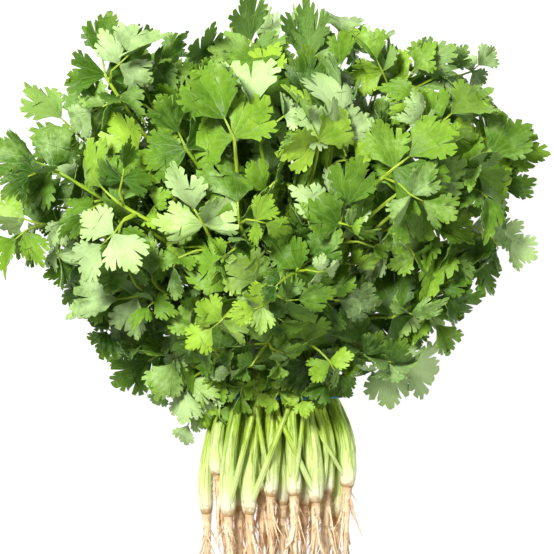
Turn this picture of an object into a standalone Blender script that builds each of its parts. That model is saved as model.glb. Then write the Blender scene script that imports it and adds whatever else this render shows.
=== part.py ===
"""Coriander bunch lying on its side, as sold: rooted plants held together by a rubber band.

Metres, +Z up. The bunch lies along Y, roots towards -Y and leaves towards +Y, on the surface
Z = 0. The origin is under the middle of the band, on the band's flat underside.

Each plant is one leafy top (a swollen pale base, a stem, its leaf stalks and their leaves, in one
body) and one tan root. The stems part above the band as the water of a fountain does, so that
they stay clear of each other, and each leaf grows in the first of its seeded ways that is clear of
everything grown before it.
"""

import math
import random

import bmesh
import bpy
from mathutils import Matrix, Vector
from mathutils.bvhtree import BVHTree
from mathutils.geometry import convex_hull_2d

MM = 0.001
SEED = 13

# ---- The rubber band, and the plants that it holds in layers from the surface up ----
BAND_WIDTH = 3.6 * MM
BAND_THICKNESS = 1.4 * MM
BAND_REACH = 4.1 * MM  # from the outer plants' middles to the band's inner face
BAND_ARC_STEPS = 3
PLANTS_PER_LAYER = (5, 7, 7, 5)
PLANT_PITCH = 8.8 * MM
LAYER_RISE = 7.2 * MM
LOWEST_LAYER = BAND_REACH + BAND_THICKNESS
BAND_MIDDLE = LOWEST_LAYER + LAYER_RISE * (len(PLANTS_PER_LAYER) - 1) / 2
DISC_WIDTH = 0.9  # the layers' spread in a disc of radius 1, which stands for the whole head
DISC_HEIGHT = 1.55
DISC_LIFT = 0.06
DISC_EDGE = 0.97  # the furthest out that anything grows

# ---- A plant's base, from its crown to the band, and its stem, from the band to its leaves ----
BASE_RADIUS = (3.6 * MM, 4.4 * MM)
CROWN_Y = (-71 * MM, -38 * MM)
CROWN_SPREAD = 1.28  # how much wider apart the crowns are than the stems at the band
CROWN_SHIFT = 0.5 * MM
CROWN_LOWEST = 5.4 * MM
CROWN_LAYER_RISE = 8.6 * MM
BASE_BOW = 4.0 * MM
# Shares of the way from the crown to the band, and of the radius.
BASE_SHAPE = ((0.0, 0.74), (0.10, 0.98), (0.32, 1.0), (0.66, 0.84), (1.0, 0.68))
STEM_SHAPE = ((0.22, 0.53), (0.44, 0.44))  # shares of the way into the head, and of the radius
STEM_DEPTH = 0.62  # where a stem points to, as a share of the head's reach
BASE_SIDES = 6

# ---- A root, from just below its crown to its tip, with one fork ----
ROOT_GAP = 0.3 * MM
ROOT_LENGTH = (38 * MM, 52 * MM)
ROOT_SHAPE = ((0.0, 0.92), (0.25, 0.72), (0.6, 0.38), (1.0, 0.14))
ROOT_DRIFT = 0.05
FORK_AT = 1  # the point of the root that the fork leaves from
FORK_REACH = (5 * MM, -19 * MM, 3 * MM)
FORK_RADIUS = (0.9 * MM, 0.4 * MM)

# ---- The leafy head ----
HEAD_CENTRE = Vector((-5, 95, 61)) * MM
HEAD_REACH = Vector((104, 76, 48)) * MM  # to the bases of the outer leaves
HEAD_REACH_BACK = 98 * MM  # the same towards the band
HEAD_TURN = math.radians(155)  # how far round from the far end the leaves go
FACE_PULL = 1.5  # draws leaves towards the upper and lower faces of the flattened head
LEAST_HEIGHT = 9 * MM  # of a leaf's base above the surface
FOUNTAIN_Y = 15 * MM  # where the stalks seem to come from
LEAVES_PER_PLANT = 4
DEPTHS = (1.05, 0.94, 0.82, 0.70)  # of each leaf of a plant, as a share of the head's reach
LEAF_SPREAD = (0.12, 0.17)  # of a plant's leaves, in the disc
# The plants whose first leaf reaches out of the head: its place in the disc, and its depth.
STRAYS = {
    6: (-0.72, -0.02, 1.08),
    12: (0.60, 0.03, 1.09),
    13: (-0.59, 0.05, 1.05),
    14: (-0.35, 0.05, 1.20),
    18: (0.45, 0.05, 1.05),
}
SETTLED_LEAVES = 2  # of each plant in the lowest layer, lowered until they touch the surface
STALK_RADIUS = (1.25 * MM, 0.95 * MM)
STALK_STEPS = 3
STALK_SIDES = 4
STALK_START = 0.03  # how far inside the stem a stalk starts, as a share of the stem's whole way

# ---- One leaf: three lobed leaflets cut to the rib in one arched blade ----
LEAFLET = 28 * MM
BLADE_THICKNESS = 0.8 * MM
RIB = 0.36  # from the side leaflets to the end leaflet, as a share of a leaflet
TAIL = 0.10  # how far the blade runs back along its stalk, as a share of a leaflet
TAIL_BARE = 1.6 * MM  # how far short of the side leaflets the stalk ends, on the tail
STALK_CLEAR = 4 * MM  # a stalk is clear of its own blade up to this far before its end
# One half of the end leaflet, from its base to its tip, in leaflets.
HALF_LEAFLET = ((0.035, 0.04), (0.44, 0.40), (0.47, 0.74), (0.16, 0.60), (0.21, 1.0))
SIDE_LEFT_OUT = (0, 1, 3)  # the points of its lower half that a side leaflet does without
SIDE_TURN = math.radians(74)
SIDE_RISE = 0.02
CLEARANCE = 0.25 * MM
SHARP = math.radians(50)
ATTEMPTS = 500
SIZES = ((200, 1.0), (350, 0.86), (ATTEMPTS, 0.72))  # attempts below each number have that size


def clear_scene():
    for obj in list(bpy.data.objects):
        bpy.data.objects.remove(obj)


def new_collection(name):
    made = bpy.data.collections.new(name)
    bpy.context.scene.collection.children.link(made)
    return made


def material(name, colour, roughness):
    made = bpy.data.materials.new(name)
    made.use_nodes = True
    shader = made.node_tree.nodes["Principled BSDF"]
    shader.inputs["Base Color"].default_value = (*colour, 1.0)
    shader.inputs["Roughness"].default_value = roughness
    shader.inputs["Metallic"].default_value = 0.0
    return made


def draw(*key):
    """A seeded stream of random numbers of its own for each thing that is drawn."""
    return random.Random("-".join(str(part) for part in (SEED, *key)))


def bezier(a, b, c, d, t):
    s = 1 - t
    return a * s**3 + b * (3 * s * s * t) + c * (3 * s * t * t) + d * t**3


# ---- Where things grow ----


def plants():
    """Each plant's place at the band, and its place in the disc that stands for the head."""
    found = []
    layers = len(PLANTS_PER_LAYER)
    half_width = (max(PLANTS_PER_LAYER) - 1) / 2 * PLANT_PITCH + PLANT_PITCH / 4
    for layer, count in enumerate(PLANTS_PER_LAYER):
        stagger = PLANT_PITCH / 4 * (-1) ** layer
        for i in range(count):
            x = (i - (count - 1) / 2) * PLANT_PITCH + stagger
            z = LOWEST_LAYER + layer * LAYER_RISE
            across = DISC_WIDTH * x / half_width
            up = DISC_LIFT + DISC_HEIGHT * (layer / (layers - 1) - 0.5)
            found.append({
                "index": len(found) + 1,
                "layer": layer,
                "band": Vector((x, 0, z)),
                "disc": (across, up),
            })
    return found


def middle(y):
    """The bunch's middle at a distance from the band: it rises from the band to the head."""
    rise = min(max(y / HEAD_CENTRE.y, 0), 1)
    rise = rise * rise * (3 - 2 * rise)
    point = Vector((0, 0, BAND_MIDDLE)).lerp(HEAD_CENTRE, rise)
    return Vector((point.x, 0, point.z))


def head_point(across, up, depth):
    """A place in the head for a place in the disc, measured from the bunch's middle, and the way
    out of the head there. The head is flatter below, where it lies on the surface."""
    out = min(math.hypot(across, up), DISC_EDGE)
    polar = math.acos(1 - (1 - math.cos(HEAD_TURN)) * out**2)
    round_axis = math.atan2(up, across)
    way = Vector((
        math.sin(polar) * math.cos(round_axis),
        math.cos(polar),
        math.sin(polar) * math.sin(round_axis) * FACE_PULL,
    )).normalized()
    point = Vector([part * reach * depth for part, reach in zip(way, HEAD_REACH)])
    if way.y < 0:
        point.y *= HEAD_REACH_BACK / HEAD_REACH.y
    point.y += HEAD_CENTRE.y
    if way.z < 0:
        point.z *= min(1, (middle(point.y).z - LEAST_HEIGHT) / HEAD_REACH.z)
    return point, way


def stalk_way(point, way):
    """The way a stem or a stalk is going when it reaches a place in the head."""
    return ((point - Vector((0, FOUNTAIN_Y, 0))).normalized() + way * 0.5).normalized()


def stem_point(plant, t):
    """A point of a plant's own line from the band, t = 0, to its place in the head, t = 1."""
    end, way = head_point(*plant["disc"], STEM_DEPTH)
    start = plant["band"] - middle(0)
    far = (end - start).length
    near_handle = start + Vector((0, far * 0.42, 0))
    end_handle = end - stalk_way(end, way) * far * 0.33
    point = bezier(start, near_handle, end_handle, end, t)
    return point + middle(point.y)


def base_line(plant):
    """The middle line and radii of a plant's base and stem, from the crown up."""
    rng = draw("base", plant["index"])
    radius = rng.uniform(*BASE_RADIUS)
    crown = Vector((
        plant["band"].x * CROWN_SPREAD + rng.uniform(-CROWN_SHIFT, CROWN_SHIFT),
        rng.uniform(*CROWN_Y),
        CROWN_LOWEST + plant["layer"] * CROWN_LAYER_RISE,
    ))
    bow = Vector((BASE_BOW * plant["disc"][0], 0, 0))
    line = []
    for along, share in BASE_SHAPE:
        point = crown.lerp(plant["band"], along) + bow * math.sin(math.pi * along)
        line.append((point, radius * share))
    for t, share in STEM_SHAPE:
        line.append((stem_point(plant, t), radius * share))
    return line


def root_lines(plant):
    """The middle lines and radii of a root and of its fork."""
    rng = draw("root", plant["index"])
    (crown, crown_radius), (above, _) = base_line(plant)[:2]
    down = (crown - above).normalized()
    length = rng.uniform(*ROOT_LENGTH)
    drift = Vector((rng.uniform(-ROOT_DRIFT, ROOT_DRIFT), 0, rng.uniform(-ROOT_DRIFT, 0)))
    root = []
    for along, share in ROOT_SHAPE:
        point = crown + down * (ROOT_GAP + length * along) + drift * length * along**2
        radius = crown_radius * share
        point.z = max(point.z, radius + CLEARANCE)
        root.append((point, radius))
    start = root[FORK_AT][0]
    turn = Matrix.Rotation(rng.uniform(0, math.pi), 3, "Y")
    end = start + turn @ Vector(FORK_REACH)
    end.z = max(end.z, FORK_RADIUS[0] + CLEARANCE)
    half_way = start.lerp(end, 0.5) + (end - start).cross(down) * 0.15
    half_way.z = max(half_way.z, FORK_RADIUS[0] + CLEARANCE)
    fork = [(start, FORK_RADIUS[0]), (half_way, FORK_RADIUS[0]), (end, FORK_RADIUS[1])]
    return root, fork


def blade_outline():
    """The leaf's flat outline: its stalk's end, then the right, the end and the left leaflet."""
    end = list(HALF_LEAFLET) + [(-x, y) for x, y in reversed(HALF_LEAFLET)]
    side = [point for i, point in enumerate(end) if i not in SIDE_LEFT_OUT]
    outline = [Vector((0, -TAIL, 0))]
    for shape, turn, rise in ((side, -SIDE_TURN, SIDE_RISE), (end, 0, RIB)):
        for point in shape:
            outline.append(Matrix.Rotation(turn, 3, "Z") @ Vector((*point, 0)) + Vector((0, rise, 0)))
    right = outline[1 : 1 + len(side)]
    outline += [Vector((-point.x, point.y, 0)) for point in reversed(right)]
    return [point * LEAFLET for point in outline]


BLADE_OUTLINE = blade_outline()


def blade_points(flat, way, lift=0.0):
    """The blade's points in the bunch, arched so that the leaflets droop, lifted off its face."""
    normal = way["frame"].to_3x3() @ Vector((0, 0, 1))
    centre = Vector((0, RIB * LEAFLET / 2, 0))
    found = []
    for point in flat:
        droop = way["arch"] * (point - centre).length_squared
        found.append(way["frame"] @ (Vector((point.x, point.y, -droop)) * way["size"]) + normal * lift)
    return found


def leaf_way(plant, leaf, attempt):
    """One way for a leaf to grow: its stalk's line, its frame (X across, Y to its tip, Z out of
    its face), its size and its arch. Later attempts stray further and are smaller."""
    rng = draw("leaf", plant["index"], leaf, attempt)
    stray = min(attempt / ATTEMPTS * 2, 1.0)
    turn = math.tau * (leaf + 0.5) / LEAVES_PER_PLANT
    across = plant["disc"][0] + LEAF_SPREAD[0] * math.cos(turn)
    up = plant["disc"][1] + LEAF_SPREAD[1] * math.sin(turn)
    depth = DEPTHS[leaf]
    if leaf == 0 and plant["index"] in STRAYS:
        across, up, depth = STRAYS[plant["index"]]
    across += rng.uniform(-0.05, 0.05) * (1 + stray)
    up += rng.uniform(-0.06, 0.06) * (1 + stray)
    depth += rng.uniform(-0.05, 0.05) * (1 + stray)
    base, way = head_point(across, up, depth)
    ahead = stalk_way(base, way)
    base += middle(base.y)

    parting = STEM_SHAPE[-1][0]
    start = stem_point(plant, parting - STALK_START)
    onward = (stem_point(plant, parting) - start).normalized()
    far = (base - start).length
    sway = Vector([rng.gauss(0, 0.04 + 0.08 * stray) for _ in range(3)]) * far
    near_handle = start + onward * far * 0.4 + sway * 0.5
    end_handle = base - ahead * far * 0.35 + sway

    arrives = (base - end_handle).normalized()
    facing = Vector((0, 0, 1 if way.z > -0.1 else -1))
    normal = (way * 0.5 + facing * 0.5).normalized()
    tip = (arrives - normal * arrives.dot(normal)).normalized()
    tip = Matrix.Rotation(rng.gauss(0, 0.45 + 0.4 * stray), 3, normal) @ tip
    frame = Matrix((tip.cross(normal), tip, normal)).transposed().to_4x4()
    rise = Matrix.Rotation(rng.gauss(0.30, 0.16), 4, "X")
    roll = Matrix.Rotation(rng.gauss(0, 0.22), 4, "Y")
    size = next(size for last, size in SIZES if attempt < last)
    found = {
        "frame": Matrix.Translation(base) @ frame @ rise @ roll,
        "size": size * rng.uniform(0.92, 1.08),
        "arch": rng.uniform(3, 9),
    }
    if plant["layer"] == 0 and leaf < SETTLED_LEAVES and facing.z < 0:
        drop = BLADE_THICKNESS / 2 - min(point.z for point in blade_points(BLADE_OUTLINE, found))
        found["frame"].translation.z += drop
        base.z += drop
        end_handle.z += drop
    steps = [i / STALK_STEPS for i in range(STALK_STEPS + 1)]
    found["line"] = [bezier(start, near_handle, end_handle, base, t) for t in steps]
    return found


# ---- Shapes ----


def link(mesh, name, collection, finish):
    obj = bpy.data.objects.new(name, mesh)
    mesh.materials.clear()
    mesh.materials.append(finish)
    mesh.shade_smooth()
    mesh.set_sharp_from_angle(angle=SHARP)
    collection.objects.link(obj)
    return obj


def tube(line, sides, name, collection, finish):
    """A round bar along a line of (point, radius), as a closed mesh."""
    curve = bpy.data.curves.new(name, "CURVE")
    curve.dimensions = "3D"
    curve.bevel_depth = 1.0
    curve.bevel_resolution = (sides - 4) // 2
    curve.use_fill_caps = True
    spline = curve.splines.new("POLY")
    spline.points.add(len(line) - 1)
    for spot, (point, radius) in zip(spline.points, line):
        spot.co = (*point, 1)
        spot.radius = radius
    guide = bpy.data.objects.new(name, curve)
    collection.objects.link(guide)
    bpy.context.view_layer.update()
    graph = bpy.context.evaluated_depsgraph_get()
    mesh = bpy.data.meshes.new_from_object(guide.evaluated_get(graph))
    bpy.data.objects.remove(guide)
    made = bmesh.new()
    made.from_mesh(mesh)
    bmesh.ops.remove_doubles(made, verts=made.verts, dist=0.01 * MM)
    made.to_mesh(mesh)
    made.free()
    return link(mesh, name, collection, finish)


def blade_triangles():
    """The flat outline's points and the triangles that it is cut into, alike on both faces."""
    made = bmesh.new()
    made.faces.new([made.verts.new(point) for point in BLADE_OUTLINE])
    bmesh.ops.triangulate(made, faces=made.faces)
    made.verts.index_update()
    points = [vertex.co.copy() for vertex in made.verts]
    triangles = [[vertex.index for vertex in face.verts] for face in made.faces]
    made.free()
    return points, triangles


def blade(flat, triangles, way, collection, finish):
    """A leaf's blade, made thick by a modifier."""
    mesh = bpy.data.meshes.new("blade")
    mesh.from_pydata(blade_points(flat, way), [], triangles)
    thickness = link(mesh, "blade", collection, finish).modifiers.new("thickness", "SOLIDIFY")
    thickness.thickness = BLADE_THICKNESS
    thickness.offset = 0


def walls(rings, count):
    """The triangles between rings of points, each ring of a count of points after the last."""
    triangles = []
    for ring in range(rings - 1):
        for k in range(count):
            a, b = ring * count + k, ring * count + (k + 1) % count
            triangles += [[a, b, b + count], [a, b + count, a + count]]
    return triangles


def stalk_test(line):
    """The points and triangles round a stalk's line that nothing else may cross."""
    reach = STALK_RADIUS[0] * 1.2 + CLEARANCE
    points = []
    for i, point in enumerate(line):
        ahead = line[min(i + 1, len(line) - 1)] - line[max(i - 1, 0)]
        side = ahead.orthogonal().normalized() * reach
        for k in range(STALK_SIDES):
            points.append(point + Matrix.Rotation(math.tau * k / STALK_SIDES, 3, ahead) @ side)
    return points, walls(len(line), STALK_SIDES)


def blade_test(flat, triangles, way):
    """The points and triangles round a blade that nothing else may cross."""
    lift = BLADE_THICKNESS / 2 + CLEARANCE
    points = blade_points(flat, way, lift) + blade_points(flat, way, -lift)
    lower = [[i + len(flat) for i in triangle] for triangle in triangles]
    return points, triangles + lower + walls(2, len(flat))


class Grown:
    """What has grown so far, and whether something new would cross it."""

    def __init__(self):
        self.things = []

    @staticmethod
    def box(points):
        axes = list(zip(*points))
        return [min(axis) for axis in axes], [max(axis) for axis in axes]

    @staticmethod
    def crosses(first, second):
        """Whether two things, each as its points and triangles, cross."""
        return bool(BVHTree.FromPolygons(*first).overlap(BVHTree.FromPolygons(*second)))

    def add(self, key, points, triangles):
        self.things.append((key, BVHTree.FromPolygons(points, triangles), *self.box(points)))

    def crossed_by(self, points, triangles, skip=()):
        low, high = self.box(points)
        tree = BVHTree.FromPolygons(points, triangles)
        for key, other, other_low, other_high in self.things:
            apart = any(a > b for a, b in zip(low + other_low, other_high + high))
            if key not in skip and not apart and tree.overlap(other):
                return True
        return False


def grow_leaf(plant, leaf, flat, triangles, grown):
    """The leaf's first way that is above the surface and clear of all that has grown, or None."""
    index = plant["index"]
    own = [("base", index)] + [("stalk", index, k) for k in range(LEAVES_PER_PLANT)]
    for attempt in range(ATTEMPTS):
        way = leaf_way(plant, leaf, attempt)
        of_blade = blade_test(flat, triangles, way)
        of_stalk = stalk_test(way["line"])
        if min(point.z for point in of_blade[0] + of_stalk[0]) < -CLEARANCE * 1.1:
            continue
        *far, end = way["line"]
        clear_part = stalk_test(far + [end + (far[-1] - end).normalized() * STALK_CLEAR])
        if grown.crosses(clear_part, of_blade):
            continue
        if grown.crossed_by(*of_stalk, skip=own) or grown.crossed_by(*of_blade):
            continue
        grown.add(("blade", index, leaf), *of_blade)
        grown.add(("stalk", index, leaf), *of_stalk)
        return way
    return None


def stalk(way, collection, finish):
    """A leaf's stalk, which holds its blade by the tail."""
    points = way["line"][:-1] + [way["frame"] @ Vector((0, -TAIL_BARE, 0))]
    thick, thin = STALK_RADIUS
    line = [(point, thick + (thin - thick) * i / STALK_STEPS) for i, point in enumerate(points)]
    tube(line, STALK_SIDES, "stalk", collection, finish)


def keep_largest_shell(mesh):
    """Drops all but the largest shell: a hollow sealed by a union is filled, a scrap is left out."""
    made = bmesh.new()
    made.from_mesh(mesh)
    left = set(made.verts)
    shells = []
    while left:
        shell, front = set(), [left.pop()]
        while front:
            vertex = front.pop()
            shell.add(vertex)
            near = {edge.other_vert(vertex) for edge in vertex.link_edges} & left
            left -= near
            front += near
        shells.append(shell)
    shells.sort(key=len)
    for shell in shells[:-1]:
        bmesh.ops.delete(made, geom=list(shell), context="VERTS")
    made.to_mesh(mesh)
    made.free()


def joined(pieces, name, collection, finish):
    """One body of a collection's objects, which are then removed."""
    *others, body = pieces.objects
    if others:
        pieces.objects.unlink(body)
        collection.objects.link(body)
        union = body.modifiers.new("union", "BOOLEAN")
        union.operation = "UNION"
        union.operand_type = "COLLECTION"
        union.collection = pieces
        union.solver = "MANIFOLD"
    bpy.context.view_layer.update()
    graph = bpy.context.evaluated_depsgraph_get()
    mesh = bpy.data.meshes.new_from_object(body.evaluated_get(graph))
    for piece in [body, *others]:
        bpy.data.objects.remove(piece)
    bpy.data.collections.remove(pieces)
    keep_largest_shell(mesh)
    link(mesh, name, collection, finish)


# ---- The bunch ----


def make_band(grown_plants, collection, finish):
    """A taut rubber band: straight between the outer plants and round where it turns at one."""
    spots = [Vector((plant["band"].x, plant["band"].z)) for plant in grown_plants]
    corners = [spots[i] for i in convex_hull_2d(spots)]
    curve = bpy.data.curves.new("rubber_band", "CURVE")
    curve.dimensions = "2D"
    curve.fill_mode = "BOTH"
    curve.extrude = BAND_WIDTH / 2
    for reach in (BAND_REACH, BAND_REACH + BAND_THICKNESS):
        outline = []
        for i, corner in enumerate(corners):
            arrives = corner - corners[i - 1]
            leaves = corners[(i + 1) % len(corners)] - corner
            first = math.atan2(arrives.y, arrives.x) - math.pi / 2
            turn = -arrives.angle_signed(leaves)
            for k in range(BAND_ARC_STEPS + 1):
                angle = first + turn * k / BAND_ARC_STEPS
                outline.append(corner + Vector((math.cos(angle), math.sin(angle))) * reach)
        spline = curve.splines.new("POLY")
        spline.use_cyclic_u = True
        spline.points.add(len(outline) - 1)
        for spot, point in zip(spline.points, outline):
            spot.co = (*point, 0, 1)
    band = bpy.data.objects.new("rubber_band", curve)
    band.rotation_euler.x = math.pi / 2
    curve.materials.append(finish)
    collection.objects.link(band)


def main():
    clear_scene()
    bunch = new_collection("coriander_bunch")
    green = material("coriander_green", (0.20, 0.42, 0.05), 0.5)
    tan = material("root_tan", (0.62, 0.42, 0.24), 0.7)
    blue = material("band_blue", (0.03, 0.25, 0.55), 0.45)

    all_plants = plants()
    make_band(all_plants, bunch, blue)

    grown = Grown()
    tops = {}
    for plant in all_plants:
        index = plant["index"]
        tops[index] = new_collection(f"top_{index:02d}")
        base = tube(base_line(plant), BASE_SIDES, "base", tops[index], green)
        base.data.calc_loop_triangles()
        faces = [face.vertices[:] for face in base.data.loop_triangles]
        grown.add(("base", index), [vertex.co.copy() for vertex in base.data.vertices], faces)

        root_pieces = new_collection(f"root_{index:02d}_pieces")
        root, fork = root_lines(plant)
        tube(root, BASE_SIDES, "root", root_pieces, tan)
        tube(fork, STALK_SIDES, "fork", root_pieces, tan)
        joined(root_pieces, f"root_{index:02d}", bunch, tan)

    flat, triangles = blade_triangles()
    for leaf in range(LEAVES_PER_PLANT):
        for plant in all_plants:
            way = grow_leaf(plant, leaf, flat, triangles, grown)
            if way is not None:
                top = tops[plant["index"]]
                blade(flat, triangles, way, top, green)
                stalk(way, top, green)

    for index, top in tops.items():
        joined(top, f"leafy_stem_{index:02d}", bunch, green)

    rest = bpy.data.objects.new("coriander_bunch", None)
    for piece in bunch.objects:
        piece.parent = rest
    bunch.objects.link(rest)


main()
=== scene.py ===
"""Looks of a coriander bunch lying on its side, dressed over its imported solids, in metres."""

import math
import random

import bpy
from mathutils import Matrix, Vector
from mathutils.bvhtree import BVHTree
from mathutils.geometry import convex_hull_2d
from mathutils.kdtree import KDTree


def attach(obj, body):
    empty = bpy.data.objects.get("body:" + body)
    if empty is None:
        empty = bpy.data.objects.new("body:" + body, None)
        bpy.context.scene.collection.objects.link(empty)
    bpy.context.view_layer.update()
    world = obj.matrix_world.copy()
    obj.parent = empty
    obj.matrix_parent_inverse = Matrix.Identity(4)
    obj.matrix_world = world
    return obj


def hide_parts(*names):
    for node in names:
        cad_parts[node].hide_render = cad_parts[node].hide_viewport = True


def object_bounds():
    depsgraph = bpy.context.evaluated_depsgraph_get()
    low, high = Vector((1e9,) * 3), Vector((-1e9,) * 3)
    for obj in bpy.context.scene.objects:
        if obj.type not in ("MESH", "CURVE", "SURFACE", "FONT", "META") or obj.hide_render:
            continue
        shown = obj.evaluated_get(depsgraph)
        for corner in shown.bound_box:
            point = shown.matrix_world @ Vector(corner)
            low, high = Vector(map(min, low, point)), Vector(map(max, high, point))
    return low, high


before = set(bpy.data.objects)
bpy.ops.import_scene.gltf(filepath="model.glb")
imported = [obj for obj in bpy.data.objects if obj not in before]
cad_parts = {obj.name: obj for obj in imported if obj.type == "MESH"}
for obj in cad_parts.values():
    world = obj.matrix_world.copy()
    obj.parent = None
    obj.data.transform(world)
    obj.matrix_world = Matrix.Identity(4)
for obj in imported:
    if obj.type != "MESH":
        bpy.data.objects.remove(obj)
cad_box = [list(corner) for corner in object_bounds()]


# ---- Bases and stalks ----
# Each plant is a swollen, pale base made of its stalks' sheaths, which part into ribbed green
# stalks on their way up through the band. Everything grows by the rule of the solids, so the
# finer pieces stand exactly where their solids do. The stalks are joined to the base by growth.

MM = 0.001
SEED = 13
BAND_REACH = 4.1 * MM
BAND_THICKNESS = 1.4 * MM
PLANTS_PER_LAYER = (5, 7, 7, 5)
PLANT_PITCH = 8.8 * MM
LAYER_RISE = 7.2 * MM
LOWEST_LAYER = BAND_REACH + BAND_THICKNESS
BAND_MIDDLE = LOWEST_LAYER + LAYER_RISE * (len(PLANTS_PER_LAYER) - 1) / 2
DISC_WIDTH = 0.9
DISC_HEIGHT = 1.55
DISC_LIFT = 0.06
DISC_EDGE = 0.97
BASE_RADIUS = (3.6 * MM, 4.4 * MM)
CROWN_Y = (-71 * MM, -38 * MM)
CROWN_SPREAD = 1.28
CROWN_SHIFT = 0.5 * MM
CROWN_LOWEST = 5.4 * MM
CROWN_LAYER_RISE = 8.6 * MM
BASE_BOW = 4.0 * MM
PARTING = 0.44  # share of the stem's way at which its stalks part
STALK_START = 0.03
STEM_DEPTH = 0.62
HEAD_CENTRE = Vector((-5, 95, 61)) * MM
HEAD_REACH = Vector((104, 76, 48)) * MM
HEAD_REACH_BACK = 98 * MM
HEAD_TURN = math.radians(155)
FACE_PULL = 1.5
LEAST_HEIGHT = 9 * MM
FOUNTAIN_Y = 15 * MM
LEAVES_PER_PLANT = 4
DEPTHS = (1.05, 0.94, 0.82, 0.70)
LEAF_SPREAD = (0.12, 0.17)
STRAYS = {
    6: (-0.72, -0.02, 1.08),
    12: (0.60, 0.03, 1.09),
    13: (-0.59, 0.05, 1.05),
    14: (-0.35, 0.05, 1.20),
    18: (0.45, 0.05, 1.05),
}
SETTLED_LEAVES = 2
LEAFLET = 28 * MM
BLADE_THICKNESS = 0.8 * MM
RIB = 0.36
TAIL = 0.10
HALF_BLADE = ((0.035, 0.04), (0.44, 0.40), (0.47, 0.74), (0.16, 0.60), (0.21, 1.0))
SIDE_LEFT_OUT = (0, 1, 3)
SIDE_TURN = math.radians(74)
SIDE_RISE = 0.02
ATTEMPTS = 500
SIZES = ((200, 1.0), (350, 0.86), (ATTEMPTS, 0.72))


def draw(*key):
    """A seeded stream of random numbers of its own for each thing that is drawn."""
    return random.Random("-".join(str(part) for part in (SEED, *key)))


def bezier(a, b, c, d, t):
    s = 1 - t
    return a * s**3 + b * (3 * s * s * t) + c * (3 * s * t * t) + d * t**3


def plants():
    """Each plant's place at the band, and its place in the disc that stands for the head."""
    found = []
    layers = len(PLANTS_PER_LAYER)
    half_width = (max(PLANTS_PER_LAYER) - 1) / 2 * PLANT_PITCH + PLANT_PITCH / 4
    for layer, count in enumerate(PLANTS_PER_LAYER):
        stagger = PLANT_PITCH / 4 * (-1) ** layer
        for i in range(count):
            x = (i - (count - 1) / 2) * PLANT_PITCH + stagger
            z = LOWEST_LAYER + layer * LAYER_RISE
            across = DISC_WIDTH * x / half_width
            up = DISC_LIFT + DISC_HEIGHT * (layer / (layers - 1) - 0.5)
            found.append({
                "index": len(found) + 1,
                "layer": layer,
                "band": Vector((x, 0, z)),
                "disc": (across, up),
            })
    return found


def middle(y):
    """The bunch's middle at a distance from the band: it rises from the band to the head."""
    rise = min(max(y / HEAD_CENTRE.y, 0), 1)
    rise = rise * rise * (3 - 2 * rise)
    point = Vector((0, 0, BAND_MIDDLE)).lerp(HEAD_CENTRE, rise)
    return Vector((point.x, 0, point.z))


def head_point(across, up, depth):
    """A place in the head for a place in the disc, measured from the bunch's middle, and the way
    out of the head there. The head is flatter below, where it lies on the surface."""
    out = min(math.hypot(across, up), DISC_EDGE)
    polar = math.acos(1 - (1 - math.cos(HEAD_TURN)) * out**2)
    round_axis = math.atan2(up, across)
    way = Vector((
        math.sin(polar) * math.cos(round_axis),
        math.cos(polar),
        math.sin(polar) * math.sin(round_axis) * FACE_PULL,
    )).normalized()
    point = Vector([part * reach * depth for part, reach in zip(way, HEAD_REACH)])
    if way.y < 0:
        point.y *= HEAD_REACH_BACK / HEAD_REACH.y
    point.y += HEAD_CENTRE.y
    if way.z < 0:
        point.z *= min(1, (middle(point.y).z - LEAST_HEIGHT) / HEAD_REACH.z)
    return point, way


def stalk_way(point, way):
    """The way a stem or a stalk is going when it reaches a place in the head."""
    return ((point - Vector((0, FOUNTAIN_Y, 0))).normalized() + way * 0.5).normalized()


def stem_point(plant, t):
    """A point of a plant's own line from the band, t = 0, to its place in the head, t = 1."""
    end, way = head_point(*plant["disc"], STEM_DEPTH)
    start = plant["band"] - middle(0)
    far = (end - start).length
    near_handle = start + Vector((0, far * 0.42, 0))
    end_handle = end - stalk_way(end, way) * far * 0.33
    point = bezier(start, near_handle, end_handle, end, t)
    return point + middle(point.y)


def base_point(plant, along):
    """A point of a base's middle line, from the crown, along = 0, to the band, along = 1."""
    bow = Vector((BASE_BOW * plant["disc"][0], 0, 0))
    return plant["crown"].lerp(plant["band"], along) + bow * math.sin(math.pi * along)


def blade_outline():
    """The solid leaf's flat outline: its stalk's end, then its right, end and left leaflets."""
    end = list(HALF_BLADE) + [(-x, y) for x, y in reversed(HALF_BLADE)]
    side = [point for i, point in enumerate(end) if i not in SIDE_LEFT_OUT]
    outline = [Vector((0, -TAIL, 0))]
    for shape, turn, rise in ((side, -SIDE_TURN, SIDE_RISE), (end, 0, RIB)):
        for point in shape:
            turned = Matrix.Rotation(turn, 3, "Z") @ Vector((*point, 0))
            outline.append(turned + Vector((0, rise, 0)))
    right = outline[1 : 1 + len(side)]
    outline += [Vector((-point.x, point.y, 0)) for point in reversed(right)]
    return [point * LEAFLET for point in outline]


BLADE_OUTLINE = blade_outline()
BLADE_TIPS = [max(BLADE_OUTLINE, key=lambda point: point.y + side * point.x) for side in (0.1, 3)]


def blade_points(flat, way):
    """The blade's points in the bunch, arched so that the leaflets droop."""
    centre = Vector((0, RIB * LEAFLET / 2, 0))
    found = []
    for point in flat:
        droop = way["arch"] * (point - centre).length_squared
        found.append(way["frame"] @ (Vector((point.x, point.y, -droop)) * way["size"]))
    return found


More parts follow.
